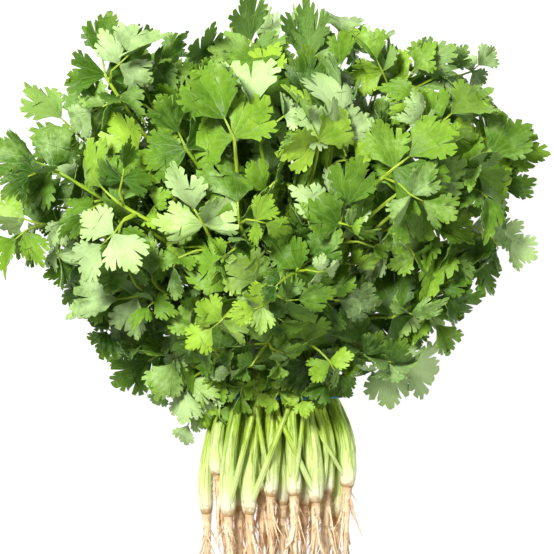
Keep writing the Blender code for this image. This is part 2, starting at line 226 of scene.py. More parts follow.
def leaf_way(plant, leaf, attempt):
    """One way for a leaf to grow: its stalk's line, its frame (X across, Y to its tip, Z out of
    its face), its size and its arch. Later attempts stray further and are smaller."""
    rng = draw("leaf", plant["index"], leaf, attempt)
    stray = min(attempt / ATTEMPTS * 2, 1.0)
    turn = math.tau * (leaf + 0.5) / LEAVES_PER_PLANT
    across = plant["disc"][0] + LEAF_SPREAD[0] * math.cos(turn)
    up = plant["disc"][1] + LEAF_SPREAD[1] * math.sin(turn)
    depth = DEPTHS[leaf]
    if leaf == 0 and plant["index"] in STRAYS:
        across, up, depth = STRAYS[plant["index"]]
    across += rng.uniform(-0.05, 0.05) * (1 + stray)
    up += rng.uniform(-0.06, 0.06) * (1 + stray)
    depth += rng.uniform(-0.05, 0.05) * (1 + stray)
    base, way = head_point(across, up, depth)
    ahead = stalk_way(base, way)
    base += middle(base.y)

    start = stem_point(plant, PARTING - STALK_START)
    onward = (stem_point(plant, PARTING) - start).normalized()
    far = (base - start).length
    sway = Vector([rng.gauss(0, 0.04 + 0.08 * stray) for _ in range(3)]) * far
    near_handle = start + onward * far * 0.4 + sway * 0.5
    end_handle = base - ahead * far * 0.35 + sway

    arrives = (base - end_handle).normalized()
    facing = Vector((0, 0, 1 if way.z > -0.1 else -1))
    normal = (way * 0.5 + facing * 0.5).normalized()
    tip = (arrives - normal * arrives.dot(normal)).normalized()
    tip = Matrix.Rotation(rng.gauss(0, 0.45 + 0.4 * stray), 3, normal) @ tip
    axes = Matrix((tip.cross(normal), tip, normal)).transposed().to_4x4()
    rise = Matrix.Rotation(rng.gauss(0.30, 0.16), 4, "X")
    roll = Matrix.Rotation(rng.gauss(0, 0.22), 4, "Y")
    size = next(size for last, size in SIZES if attempt < last)
    found = {
        "frame": Matrix.Translation(base) @ axes @ rise @ roll,
        "size": size * rng.uniform(0.92, 1.08),
        "arch": rng.uniform(3, 9),
    }
    if plant["layer"] == 0 and leaf < SETTLED_LEAVES and facing.z < 0:
        drop = BLADE_THICKNESS / 2 - min(point.z for point in blade_points(BLADE_OUTLINE, found))
        found["frame"].translation.z += drop
        base.z += drop
        end_handle.z += drop
    found["handles"] = (start, near_handle, end_handle, base)
    return found


def grown_leaves(plant):
    """The plant's leaves, each in the way that its solid grew: the one whose tips it has."""
    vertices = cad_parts[f"leafy_stem_{plant['index']:02d}"].data.vertices
    solid = KDTree(len(vertices))
    for i, vertex in enumerate(vertices):
        solid.insert(vertex.co, i)
    solid.balance()
    found = []
    for leaf in range(LEAVES_PER_PLANT):
        for attempt in range(ATTEMPTS):
            way = leaf_way(plant, leaf, attempt)
            tips = blade_points(BLADE_TIPS, way)
            if all(solid.find(tip)[2] < BLADE_THICKNESS * 0.75 for tip in tips):
                found.append({**way, "leaf": leaf})
                break
    return found


all_plants = plants()
for plant in all_plants:
    rng = draw("base", plant["index"])
    plant["radius"] = rng.uniform(*BASE_RADIUS)
    plant["crown"] = Vector((
        plant["band"].x * CROWN_SPREAD + rng.uniform(-CROWN_SHIFT, CROWN_SHIFT),
        rng.uniform(*CROWN_Y),
        CROWN_LOWEST + plant["layer"] * CROWN_LAYER_RISE,
    ))
    plant["leaves"] = grown_leaves(plant)


def only(obj):
    """Selects one object alone and makes it the active one."""
    bpy.ops.object.select_all(action="DESELECT")
    obj.select_set(True)
    bpy.context.view_layer.objects.active = obj


def straight_bar(name, sides, steps):
    """A straight round bar of radius 1 along Z from 0 to 1, drawn out in steps from its foot, with
    its way round and its way along kept in a UV map. All that is long is made from such a bar."""
    bpy.ops.mesh.primitive_circle_add(vertices=sides, radius=1, fill_type="NGON")
    bar = bpy.context.object
    bar.name = name
    bpy.ops.object.mode_set(mode="EDIT")
    bpy.ops.mesh.select_all(action="SELECT")
    for _ in range(steps):
        bpy.ops.mesh.extrude_region_move(TRANSFORM_OT_translate={"value": (0, 0, 1 / steps)})
    bpy.ops.mesh.select_all(action="SELECT")
    bpy.ops.mesh.normals_make_consistent(inside=False)
    bpy.ops.object.mode_set(mode="OBJECT")
    bpy.ops.object.shade_smooth()
    mesh = bar.data
    uv = mesh.uv_layers[0]
    uv.name = "round_along"
    for face in mesh.polygons:
        spots = [mesh.vertices[i].co for i in face.vertices]
        turns = [math.atan2(spot.y, spot.x) / math.tau % 1 for spot in spots]
        over_seam = len(turns) == 4 and max(turns) - min(turns) > 0.5
        for loop, turn, spot in zip(face.loop_indices, turns, spots):
            uv.data[loop].uv = (turn + 1 if over_seam and turn < 0.5 else turn, spot.z)
    return bar


def line_sides(line):
    """Two directions across a line at each of its points, which never spin on its way."""
    sides, others = [], []
    side = Vector((0, 0, 1))
    for i in range(len(line)):
        ahead = (line[min(i + 1, len(line) - 1)] - line[max(i - 1, 0)]).normalized()
        if i == 0 and abs(ahead.z) > 0.9:
            side = Vector((1, 0, 0))
        side = (side - ahead * side.dot(ahead)).normalized()
        sides.append(side)
        others.append(ahead.cross(side))
    return sides, others


def placed(name, shape):
    """A new object of a mesh or a curve, placed in the scene."""
    obj = bpy.data.objects.new(name, shape)
    bpy.context.scene.collection.objects.link(obj)
    return obj


def fitted(model, line, radii, shape=None, **marks):
    """A copy of a straight bar laid along a line, with a radius at each point. Marks are kept on
    it: one number, or one for each point. A shape says how far out it is by turn and way."""
    mesh = model.data.copy()
    sides, others = line_sides(line)
    last = len(line) - 1
    lengths = [0.0]
    for before, after in zip(line, line[1:]):
        lengths.append(lengths[-1] + (after - before).length)

    def between(values, at):
        i = min(int(at), last - 1)
        return values[i] + (values[i + 1] - values[i]) * (at - i)

    places = []
    for vertex in mesh.vertices:
        across, out, along = vertex.co
        at = along * last
        places.append(at)
        radius = between(radii, at)
        if shape is not None:
            radius *= shape(math.atan2(out, across), along)
        off = between(sides, at) * across + between(others, at) * out
        vertex.co = between(line, at) + off * radius
    for name, value in {**marks, "length": lengths}.items():
        rows = value if isinstance(value, list) else [value] * len(line)
        numbers = [between(rows, at) for at in places]
        mesh.attributes.new(name, "FLOAT", "POINT").data.foreach_set("value", numbers)
    return placed(model.name + "_copy", mesh)


def joined(objects, name, *materials):
    """One piece of several objects, with its materials."""
    bpy.ops.object.select_all(action="DESELECT")
    for obj in objects:
        obj.select_set(True)
    bpy.context.view_layer.objects.active = objects[0]
    bpy.ops.object.join()
    piece = bpy.context.object
    piece.name = name
    piece.data.name = name
    piece.data.materials.clear()
    for finish in materials:
        piece.data.materials.append(finish)
    return piece


def feed(node, name, value):
    """Gives a node's input a wire's value or a plain one."""
    if isinstance(value, Wire):
        value.tree.links.new(value.socket, node.inputs[name])
    else:
        node.inputs[name].default_value = value


class Wire:
    """A value or a colour that varies over a surface. Arithmetic on it adds Math nodes."""

    def __init__(self, tree, socket=None):
        self.tree = tree
        self.socket = socket

    def node(self, kind, settings=None, inputs=None, output=0):
        """A new node's output: its settings are made first, then its inputs."""
        made = self.tree.nodes.new("ShaderNode" + kind)
        for name, value in (settings or {}).items():
            if name != "stops":
                setattr(made, name, value)
                continue
            stops = made.color_ramp.elements
            while len(stops) < len(value):
                stops.new(1.0)
            for stop, (place, colour) in zip(stops, value):
                stop.position = place
                stop.color = (*colour, 1)
        for name, value in (inputs or {}).items():
            feed(made, name, value)
        return Wire(self.tree, made.outputs[output])

    def math(self, operation, *values):
        return self.node("Math", {"operation": operation}, dict(enumerate(values)))

    def mix(self, share, first, second):
        """Two colours mixed by a share."""
        first = first if isinstance(first, Wire) else (*first, 1)
        second = second if isinstance(second, Wire) else (*second, 1)
        return self.node("Mix", {"data_type": "RGBA"}, {0: share, 6: first, 7: second}, output=2)

    def off_half(self):
        """How far this is from the nearest half past a whole number."""
        return self.math("ABSOLUTE", self.math("FRACT", self) - 0.5)

    def step(self, low, high):
        """0 where this is below the low value and 1 above the high one, smooth between."""
        settings = {"interpolation_type": "SMOOTHSTEP"}
        return self.node("MapRange", settings, {0: self, 1: low, 2: high})

    def grain(self, size, detail, where=None):
        """Soft random patches of about a size, in metres, or in steps of another place."""
        place = where or self.node("TexCoord", output="Object")
        return self.node("TexNoise", None, {"Vector": place, "Scale": 1 / size, "Detail": detail})

    def mark(self, name):
        """A number kept on the piece's points."""
        return self.node("Attribute", {"attribute_name": name}, output="Fac")

    def map_part(self, uv_map, part):
        """The X or Y part of a UV map."""
        return self.node("SeparateXYZ", None, {0: self.node("UVMap", {"uv_map": uv_map})}, output=part)

    def __add__(self, other):
        return self.math("ADD", self, other)

    def __radd__(self, other):
        return self.math("ADD", other, self)

    def __sub__(self, other):
        return self.math("SUBTRACT", self, other)

    def __rsub__(self, other):
        return self.math("SUBTRACT", other, self)

    def __mul__(self, other):
        return self.math("MULTIPLY", self, other)

    def __rmul__(self, other):
        return self.math("MULTIPLY", other, self)


def new_finish(name):
    """A new material, its shader, and a wire to draw its nodes with."""
    made = bpy.data.materials.new(name)
    made.use_nodes = True
    return made, made.node_tree.nodes["Principled BSDF"], Wire(made.node_tree)


def bumped(shader, height, strength, distance):
    """Raises the surface by a height."""
    inputs = {"Height": height, "Strength": strength, "Distance": distance}
    feed(shader, "Normal", height.node("Bump", None, inputs))


def streaks_of(wire, around, along):
    """Streaks that run along a bar: so many around it, each about a length in metres."""
    turned = wire.map_part("round_along", "X") * math.tau
    reach = around / math.tau
    place = wire.node("CombineXYZ", None, {
        0: wire.math("COSINE", turned) * reach,
        1: wire.math("SINE", turned) * reach,
        2: wire.mark("length") * (1 / along) + wire.mark("tint") * 40,
    })
    return wire.grain(1.0, 3.0, place)


STALK_DEEP = (0.050, 0.120, 0.006)
STALK_GREEN = (0.275, 0.445, 0.022)
STALK_BRIGHT = (0.530, 0.710, 0.055)
STALK_PALE = (0.640, 0.760, 0.270)
CROWN_WHITE = (0.820, 0.820, 0.560)
CROWN_BROWN = (0.480, 0.280, 0.110)
stalk_finish, shader, wire = new_finish("coriander_stalk")
streaks = streaks_of(wire, 9, 14 * MM)
fine = streaks_of(wire, 26, 9 * MM)
pale = wire.mark("pale")
colour = wire.mix(wire.mark("tint") + (streaks - 0.5) * 0.9, STALK_GREEN, STALK_BRIGHT)
colour = wire.mix((pale + (streaks - 0.5) * 0.7).step(0.05, 0.60), colour, STALK_PALE)
colour = wire.mix((pale + (streaks - 0.5) * 0.3).step(0.66, 1.0), colour, CROWN_WHITE)
colour = wire.mix((0.48 - fine).step(0.0, 0.10) * (1.15 - pale) * 0.7, colour, STALK_DEEP)
sheath = wire.map_part("round_along", "X") * 2 + wire.mark("length") * 14 + wire.mark("tint")
edge = 1 - sheath.off_half().step(0.006, 0.030)
edge = edge * wire.mark("sheath")
colour = wire.mix(edge * 0.55, colour, STALK_GREEN)
stain = wire.grain(2.4 * MM, 4.0)
dirt = stain.step(0.57, 0.70) * pale.step(0.60, 1.0) * 0.45
rust = (wire.mark("brown") + (stain - 0.5) * 1.3).step(0.16, 0.72) * 0.9
brown = wire.math("MAXIMUM", dirt, rust)
colour = wire.mix(brown, colour, CROWN_BROWN)
feed(shader, "Base Color", colour)
feed(shader, "Roughness", 0.30 + streaks * 0.16 + brown * 0.3)
ridges = wire.math("SINE", wire.map_part("round_along", "X") * (math.tau * 9)) * 0.35
bumped(shader, ridges + streaks + fine * 0.6 - edge * 0.8 + brown * stain, 0.6, 0.3 * MM)

# A base from its crown up: the share of its way, its width, how pale it is and how brown.
BASE_RINGS = (
    (0.00, 0.58, 1.00, 1.00), (0.012, 0.73, 1.00, 0.85), (0.040, 0.86, 1.00, 0.52),
    (0.09, 0.99, 0.95, 0.10), (0.18, 1.05, 0.82, 0), (0.30, 1.01, 0.64, 0), (0.45, 0.88, 0.44, 0),
    (0.62, 0.70, 0.26, 0), (0.80, 0.46, 0.10, 0), (0.94, 0.14, 0, 0),
)
BASE_STOPS = (0.14, 0.28, 0.42, 0.56, 0.70, 0.85, 1.0)
STEM_STOPS = (0.08, 0.17, 0.27, 0.36)
LEAF_STOPS = (0.0, 0.16, 0.32, 0.48, 0.64, 0.8, 0.92)
STALK_THICK = (1.0 * MM, 2.3 * MM)
STALK_STRAY = (1.7 * MM, 0.9 * MM)  # how far a stalk wanders from its base's line: across and up
UPPER_STALK = 1.28  # a stalk's radius where the stalks part, in millimetres
BARE = {"brown": 0.0, "sheath": 0.0}  # the marks of a stalk that has no sheath
base_model = straight_bar("base_model", 20, 18)
stalk_model = straight_bar("stalk_model", 8, 20)
# Plants with one more stalk, which leans across to the place of a neighbour at the band.
CROSSING = {14: 1, 15: -1, 16: 2, 18: -1, 19: -2, 20: 1, 21: 2, 22: -1, 23: 1, 24: -2}


def stalk_line(plant, number, way, rng):
    """A stalk's line, radii and paleness, from inside the base to the foot of its end leaflet. A
    stalk whose leaf is hidden ends inside the head."""
    turn = math.tau * (number + 0.5) / LEAVES_PER_PLANT
    lean = Vector((math.cos(turn), 0, math.sin(turn)))
    stray = Vector((rng.gauss(0, STALK_STRAY[0]), 0, rng.gauss(0, STALK_STRAY[1])))
    radius = plant["radius"]
    thick = rng.uniform(*STALK_THICK)
    line, radii, pale = [], [], []
    for along in BASE_STOPS:
        out = radius * (0.40 + 0.14 * math.sin(math.pi * along))
        wander = stray * math.sin(math.pi * along)
        line.append(base_point(plant, along) + lean * out + wander)
        spread = min(1, max(0, (along - 0.14) / 0.36))
        radii.append(radius * 0.40 * (1 - spread) + thick * spread)
        pale.append(max(0, 0.80 - 0.95 * along))
    for t in STEM_STOPS:
        line.append(stem_point(plant, t) + lean * radius * (0.40 - 0.5 * t))
        radii.append(thick + (UPPER_STALK * MM - thick) * t / STEM_STOPS[-1])
        pale.append(0.0)
    if way is None:
        line.append(stem_point(plant, 0.5))
        return line, radii + [0.6 * MM], pale + [0.0]
    for t in LEAF_STOPS:
        line.append(bezier(*way["handles"], t) + lean * radius * 0.22 * (1 - t))
        radii.append((UPPER_STALK - 0.42 * t) * MM)
    ends = [Vector((0, 0, 0)), Vector((0, RIB * LEAFLET * 0.5, 0)), Vector((0, RIB * LEAFLET, 0))]
    line += blade_points(ends, way)
    radii += [0.8 * MM, 0.62 * MM, 0.42 * MM]
    return line, radii, pale + [0.0] * (len(line) - len(pale))


def crossing_line(plant, neighbour, rng):
    """A thin stalk's line from the side of its crown, over the bases, to another plant's place."""
    lift = Vector((0, 0, plant["radius"] * 0.8))
    foot = base_point(plant, 0.06) + lift * 0.2
    target = neighbour["band"] + Vector((rng.uniform(-2, 2) * MM, 0, 2.7 * MM))
    over = Vector((0, 0, rng.uniform(3, 6) * MM))
    near, far = foot.lerp(target, 0.30) + over * 1.6, foot.lerp(target, 0.70) + over
    line = [bezier(foot, near, far, target, i / 8) for i in range(9)]
    return line + [stem_point(neighbour, t) + lift * 0.4 for t in (0.10, 0.22, 0.36)]


plant_stalks = {}
for plant in all_plants:
    index = plant["index"]
    rng = draw("stalk looks", index)
    tint = rng.uniform(0.1, 0.9)
    phase = rng.uniform(0, math.tau)
    ribs = rng.choice((3, 4, 5))

    def ribbed(turn, along, phase=phase, ribs=ribs):
        return 1 + 0.07 * math.cos(ribs * turn + phase) * min(1, along * 2)

    pieces = [fitted(
        base_model,
        [base_point(plant, ring[0]) for ring in BASE_RINGS],
        [plant["radius"] * ring[1] for ring in BASE_RINGS],
        ribbed,
        tint=tint,
        pale=[ring[2] for ring in BASE_RINGS],
        brown=[ring[3] for ring in BASE_RINGS],
        sheath=1.0,
    )]
    ways = {way["leaf"]: way for way in plant["leaves"]}
    for number in range(LEAVES_PER_PLANT):
        line, radii, pale = stalk_line(plant, number, ways.get(number), rng)
        shade = tint + rng.uniform(-0.35, 0.35)
        pieces.append(fitted(stalk_model, line, radii, tint=shade, pale=pale, **BARE))
    if index in CROSSING:
        line = crossing_line(plant, all_plants[index - 1 + CROSSING[index]], rng)
        thick = rng.uniform(0.8, 1.5) * MM
        radii = [thick * (1.25 - 0.5 * i / (len(line) - 1)) for i in range(len(line))]
        pale = [max(0, 0.95 - 0.17 * i) for i in range(len(line))]
        shade = rng.uniform(0.3, 1.1)
        pieces.append(fitted(stalk_model, line, radii, tint=shade, pale=pale, **BARE))
    plant_stalks[index] = pieces


# ---- Leaves ----
# A coriander leaf: three wedge-shaped leaflets, each cut into three lobes with blunt round teeth,
# thin and soft, green and waxy above and paler below, with fine veins that spread from the foot.
# One leaflet is modelled and copied, and each leaf is bent to the frame in which its solid grew.

# One half of a leaflet's edge, from its foot to its tip: two points to a tooth, one to a notch.
HALF_LEAFLET = (
    (0.020, 0.00), (0.14, 0.11), (0.29, 0.23), (0.40, 0.26), (0.43, 0.34), (0.36, 0.38),
    (0.50, 0.40), (0.53, 0.49), (0.43, 0.51), (0.53, 0.58), (0.51, 0.68), (0.41, 0.63),
    (0.43, 0.75), (0.34, 0.78), (0.19, 0.52), (0.25, 0.72), (0.26, 0.81), (0.17, 0.77),
    (0.22, 0.88), (0.16, 0.95), (0.09, 0.87), (0.08, 1.00), (0.0, 1.04),
)
HALF_INNER = ((0.0, 0.13), (0.22, 0.32), (0.35, 0.52), (0.13, 0.50), (0.0, 0.80))
LEAFLET_PLACES = ((-SIDE_TURN, SIDE_RISE, 0.92), (0.0, RIB, 0.95), (SIDE_TURN, SIDE_RISE, 0.92))
LEAF_THICKNESS = 0.28 * MM
LEAST_LEAF_HEIGHT = 0.5 * MM
DARK_GREEN = (0.016, 0.058, 0.003)
MID_GREEN = (0.080, 0.190, 0.012)
FRESH_GREEN = (0.190, 0.370, 0.024)
YELLOW_GREEN = (0.370, 0.590, 0.045)
# Painted highlight: a whitish pale green that stands for the sheen of light off the waxy leaves.
SHEEN_GREEN = (0.560, 0.760, 0.330)
BACK_GREEN = (0.25, 0.42, 0.12)
VEIN_GREEN = (0.42, 0.60, 0.20)
MAIN_VEINS_APART = 0.36  # radians
THROUGH_GREEN = (0.30, 0.56, 0.03)  # light that comes through
THROUGH_SHARE = 0.16


def whole_ring(half):
    """A ring of points from its right half, which starts at the foot."""
    mirrored = [(-x, y) for x, y in reversed(half) if x > 0]
    return [(x, y, 0.0) for x, y in list(half) + mirrored]


def leaflet_model():
    """A flat leaflet, its foot at the origin and its tip towards Y: its toothed edge is filled up
    to a plain ring inside, and the ring to its centre. Its flat place is kept in a UV map."""
    outer, inner = whole_ring(HALF_LEAFLET), whole_ring(HALF_INNER)
    bpy.ops.mesh.primitive_circle_add(vertices=len(outer), fill_type="NOTHING")
    leaflet = bpy.context.object
    mesh = leaflet.data
    bpy.ops.object.mode_set(mode="EDIT")
    bpy.ops.mesh.select_all(action="DESELECT")
    bpy.ops.mesh.primitive_circle_add(vertices=len(inner), fill_type="NOTHING")
    bpy.ops.object.mode_set(mode="OBJECT")
    for vertex, place in zip(mesh.vertices, outer + inner):
        vertex.co = place
    bpy.ops.object.mode_set(mode="EDIT")
    bpy.ops.mesh.select_all(action="SELECT")
    bpy.ops.mesh.fill(use_beauty=True)
    bpy.ops.object.mode_set(mode="OBJECT")
    for edge in mesh.edges:
        edge.select = min(edge.vertices) >= len(outer)
    bpy.ops.object.mode_set(mode="EDIT")
    bpy.ops.mesh.select_mode(type="EDGE")
    bpy.ops.mesh.edge_face_add()
    bpy.ops.mesh.poke()
    bpy.ops.mesh.select_all(action="SELECT")
    bpy.ops.mesh.normals_make_consistent(inside=False)
    bpy.ops.object.mode_set(mode="OBJECT")
    if mesh.polygons[0].normal.z < 0:
        mesh.flip_normals()
    while mesh.uv_layers:
        mesh.uv_layers.remove(mesh.uv_layers[0])
    uv = mesh.uv_layers.new(name="leaflet_flat")
    for loop in mesh.loops:
        uv.data[loop.index].uv = mesh.vertices[loop.vertex_index].co.xy
    mesh.name = "leaflet_model"
    return leaflet


def leaf_model():
    """Three leaflets, each point with its place on its own leaflet and the leaflet's number."""
    leaflet = leaflet_model()
    parts = []
    for number in range(len(LEAFLET_PLACES)):
        part = placed("leaflet", leaflet.data.copy())
        own = part.data.attributes.new("own", "FLOAT_VECTOR", "POINT")
        for i, vertex in enumerate(part.data.vertices):
            own.data[i].vector = (vertex.co.x, vertex.co.y, number)
        parts.append(part)
    bpy.data.objects.remove(leaflet)
    return joined(parts, "leaf_model")


leaf_pattern = leaf_model()
own = leaf_pattern.data.attributes["own"]
own_place = [(spot.vector.x, spot.vector.y, round(spot.vector.z)) for spot in own.data]
leaf_pattern.data.attributes.remove(own)
pattern_faces = [face.vertices[:] for face in leaf_pattern.data.polygons]


def bent_leaf(way, rng, softness=1.0):
    """The leaf's points in the bunch: arched as its solid, its leaflets tilted, folded and wavy."""
    centre = Vector((0, RIB * LEAFLET / 2, 0))
    looks = []
    for turn, rise, scale in LEAFLET_PLACES:
        tilt = Matrix.Rotation(rng.gauss(-0.04, 0.30) * softness, 4, "X")
        roll = Matrix.Rotation(rng.gauss(0, 0.32) * softness, 4, "Y")
        foot = Matrix.Translation((0, rise, 0)) @ Matrix.Rotation(turn + rng.gauss(0, 0.10), 4, "Z")
        looks.append({
            "place": foot @ tilt @ roll @ Matrix.Scale(scale * rng.uniform(0.86, 1.04), 4),
            "fold": rng.gauss(0.30, 0.40) * softness,
            "curl": rng.gauss(0.34, 0.46) * softness,
            "wave": rng.uniform(0.07, 0.19) * softness,
            "phase": rng.uniform(0, math.tau),
            "width": rng.uniform(0.84, 1.10),
        })
    points = []
    for x, y, number in own_place:
        look = looks[number]
        reach = math.hypot(x, y)
        wave = math.sin(4.2 * math.atan2(x, y + 0.1) + look["phase"])
        lift = look["fold"] * abs(x) - look["curl"] * reach * reach * 0.6 + look["wave"] * wave * reach
        uneven = 0.0 if reach < 0.1 else 0.014
        x += rng.gauss(0, uneven)
        y += rng.gauss(0, uneven)
        spot = (look["place"] @ Vector((x * look["width"], y, lift))) * LEAFLET
        spot.z -= way["arch"] * (spot - centre).length_squared
        point = way["frame"] @ (spot * way["size"])
        point.z = max(point.z, LEAST_LEAF_HEIGHT)
        points.append(point)
    return points


def leaf_copy(points, tint, wash, rng):
    """A leaf at its points. Each leaflet keeps a tint, and how much painted sheen it has: light off its
    waxy face, painted as pale green.
    """
    mesh = leaf_pattern.data.copy()
    mesh.vertices.foreach_set("co", [number for point in points for number in point])
    tints = [min(1.0, max(0.0, tint + rng.gauss(0, 0.10))) for _ in LEAFLET_PLACES]
    painted_sheens = [min(1.0, max(0.0, wash + rng.gauss(0, 0.16))) for _ in LEAFLET_PLACES]
    for name, values in (("tint", tints), ("wash", painted_sheens)):
        numbers = [values[number] for _, _, number in own_place]
        mesh.attributes.new(name, "FLOAT", "POINT").data.foreach_set("value", numbers)
    return placed("leaf", mesh)


def leaf_finish(name, back):
    """The leaf's skin, waxy and finely veined above, paler and duller on its back."""
    made, shader, wire = new_finish(name)
    across, along = wire.map_part("leaflet_flat", "X"), wire.map_part("leaflet_flat", "Y") + 0.05
    patches = wire.grain(8 * MM, 3.0)
    crinkle = wire.grain(2.0 * MM, 4.0)
    turn = wire.math("ARCTAN2", across, along) + (patches - 0.5) * 0.5
    reach = wire.math("SQRT", across * across + along * along)
    main_off = (turn * (1 / MAIN_VEINS_APART) + 0.5).off_half() * MAIN_VEINS_APART * reach
    side_off = (turn * (2 / MAIN_VEINS_APART)).off_half() * (MAIN_VEINS_APART / 2) * reach
    main_vein = 1 - main_off.step(0.004, 0.022)
    side_vein = (1 - side_off.step(0.003, 0.018)) * reach.step(0.38, 0.55)
    vein = wire.math("MAXIMUM", main_vein, side_vein * 0.7)
    colour = wire.node("ValToRGB", {"stops": (
        (0.0, DARK_GREEN), (0.36, MID_GREEN), (0.70, FRESH_GREEN), (1.0, YELLOW_GREEN),
    )}, {0: wire.mark("tint") + (patches - 0.5) * 0.5 + (crinkle - 0.5) * 0.25})
    # Painted sheen: leaflets and patches are washed towards pale whitish green where light would glance
    # off their wax.
    wash = wire.mark("wash") + (patches - 0.5) * 0.9 + (crinkle - 0.5) * 0.3
    colour = wire.mix(wash.step(0.10, 1.0) * 0.9, colour, SHEEN_GREEN)
    if back:
        colour = wire.mix(0.55, colour, BACK_GREEN)
    colour = wire.mix(vein * (0.40 if back else 0.17), colour, VEIN_GREEN)
    # Painted light and shade: each leaflet is lighter towards its tips and darker at its foot, as its
    # curl would be lit and shaded.
    colour = wire.mix(reach.step(0.60, 1.1) * 0.26, colour, YELLOW_GREEN)
    colour = wire.mix((1 - reach.step(0.0, 0.6)) * 0.35, colour, DARK_GREEN)
    feed(shader, "Base Color", colour)
    feed(shader, "Roughness", (0.48 if back else 0.30) + crinkle * 0.22)
    feed(shader, "IOR", 1.34)
    feed(shader, "Specular IOR Level", 0.36)
    quilt = wire.math("MINIMUM", main_off, 0.06) * 3
    height = crinkle + quilt + vein * (0.5 if back else -0.25)
    bumped(shader, height, 0.6, 0.5 * MM)
    skin = Wire(wire.tree, shader.outputs[0])
    through = wire.node("BsdfTranslucent", None, {"Color": (*THROUGH_GREEN, 1)})
    mixed = wire.node("MixShader", None, {0: THROUGH_SHARE, 1: skin, 2: through})
    feed(wire.tree.nodes["Material Output"], "Surface", mixed)
    return made


leaf_face = leaf_finish("coriander_leaf", False)
leaf_back = leaf_finish("coriander_leaf_back", True)
grown = []


def box_of(points):
    axes = list(zip(*points))
    return [min(axis) for axis in axes], [max(axis) for axis in axes]


def grow(points):
    """Remembers a leaf that has grown, so that later ones keep clear of it."""
    grown.append((BVHTree.FromPolygons(points, pattern_faces), *box_of(points)))


def crossings(points):
    """How many places a leaf would cut through those grown before it."""
    low, high = box_of(points)
    tree = None
    found = 0
    for other, other_low, other_high in grown:
        if any(a > b for a, b in zip(low + other_low, other_high + high)):
            continue
        tree = tree or BVHTree.FromPolygons(points, pattern_faces)
        found += len(tree.overlap(other))
    return found


def tint_and_wash(rng):
    """A leaf's greens: most are mid green, some dark, some young and yellow, and a strong painted sheen
    on a few.
    """
    wash = rng.uniform(0.45, 1.0) if rng.random() < 0.22 else rng.uniform(0.0, 0.26)
    return rng.gauss(0.50, 0.24), wash


plant_leaves = {plant["index"]: [] for plant in all_plants}
for plant in all_plants:
    for way in plant["leaves"]:
        rng = draw("leaf looks", plant["index"], way["leaf"])
        points = bent_leaf(way, rng)
        grow(points)
        plant_leaves[plant["index"]].append(leaf_copy(points, *tint_and_wash(rng), rng))


# ---- Side leaves ----
# Lower on each leaf's stalk, pairs of smaller leaves, just as thin and soft, have grown on thin
# stalks of their own. They fill the head between the solids' leaves, and a few hang over the band.

SIDE_PLACES = (0.94, 0.86, 0.78, 0.70, 0.62, 0.54, 0.46, 0.38)
SIDE_TRIES = 10
SIDE_SIZES = (0.48, 0.78)  # shares of the main leaf's size
SIDE_BARE = (8, 20)  # millimetres from the stalk
SIDE_LOWEST = 1.5 * MM
SIDE_ABOVE_BAND = 4 * MM
FRONT_FROM = 45 * MM  # above this height a leaf shows, so it may cut through fewer others
FRONT_CUTS, INNER_CUTS = 1, 6
side_model = straight_bar("side_stalk_model", 5, 6)


def side_stalk(foot, way_out, side_way, tint):
    """The thin stalk of a side leaf, from the main stalk to the foot of its end leaflet."""
    base = side_way["frame"].translation
    end = side_way["frame"] @ Vector((0, RIB * LEAFLET * side_way["size"], 0))
    mid = foot.lerp(base, 0.5) + way_out * 2 * MM
    radii = [0.80 * MM, 0.66 * MM, 0.55 * MM, 0.32 * MM]
    return fitted(side_model, [foot, mid, base, end], radii, tint=tint, pale=0.0, **BARE)


def leaf_axes(tip, normal):
    """A leaf's axes, from the way of its tip and the way that it faces."""
    tip = (tip - normal * tip.dot(normal)).normalized()
    return Matrix((tip.cross(normal), tip, normal)).transposed().to_4x4()


def side_leaf(way, place, side, rng):
    """One way for a side leaf to stand out from a stalk: its frame, its foot and its way out."""
    at = place + rng.uniform(-0.06, 0.06)
    foot = bezier(*way["handles"], at)
    ahead = (bezier(*way["handles"], at + 0.02) - foot).normalized()
    out = (foot - middle(foot.y) - Vector((0, HEAD_CENTRE.y * 0.8, 0))).normalized()
    facing = Vector((0, 0, 1 if foot.z > 40 * MM else -0.4))
    loose = Vector([rng.gauss(0, 0.28) for _ in range(3)])
    normal = (out * 0.40 + facing * 0.60 + loose).normalized()
    across = ahead.cross(normal).normalized() * side
    way_out = (ahead * rng.uniform(0.3, 0.9) + across + normal * rng.uniform(0.0, 0.7)).normalized()
    base = foot + way_out * rng.uniform(*SIDE_BARE) * MM
    axes = leaf_axes(Matrix.Rotation(rng.gauss(0, 0.35), 3, normal) @ way_out, normal)
    tilt = Matrix.Rotation(rng.gauss(0.0, 0.35), 4, "X") @ Matrix.Rotation(rng.gauss(0, 0.35), 4, "Y")
    found = {
        "frame": Matrix.Translation(base) @ axes @ tilt,
        "size": rng.uniform(*SIDE_SIZES) * way["size"],
        "arch": rng.uniform(4, 14),
    }
    return found, foot, ahead


def inside_box(points):
    """Whether a side leaf stays within the solids' box, off the surface and above the band."""
    low, high = box_of(points)
    if low[2] < SIDE_LOWEST or low[1] < SIDE_ABOVE_BAND:
        return False
    return all(low[i] > cad_box[0][i] and high[i] < cad_box[1][i] for i in range(3))


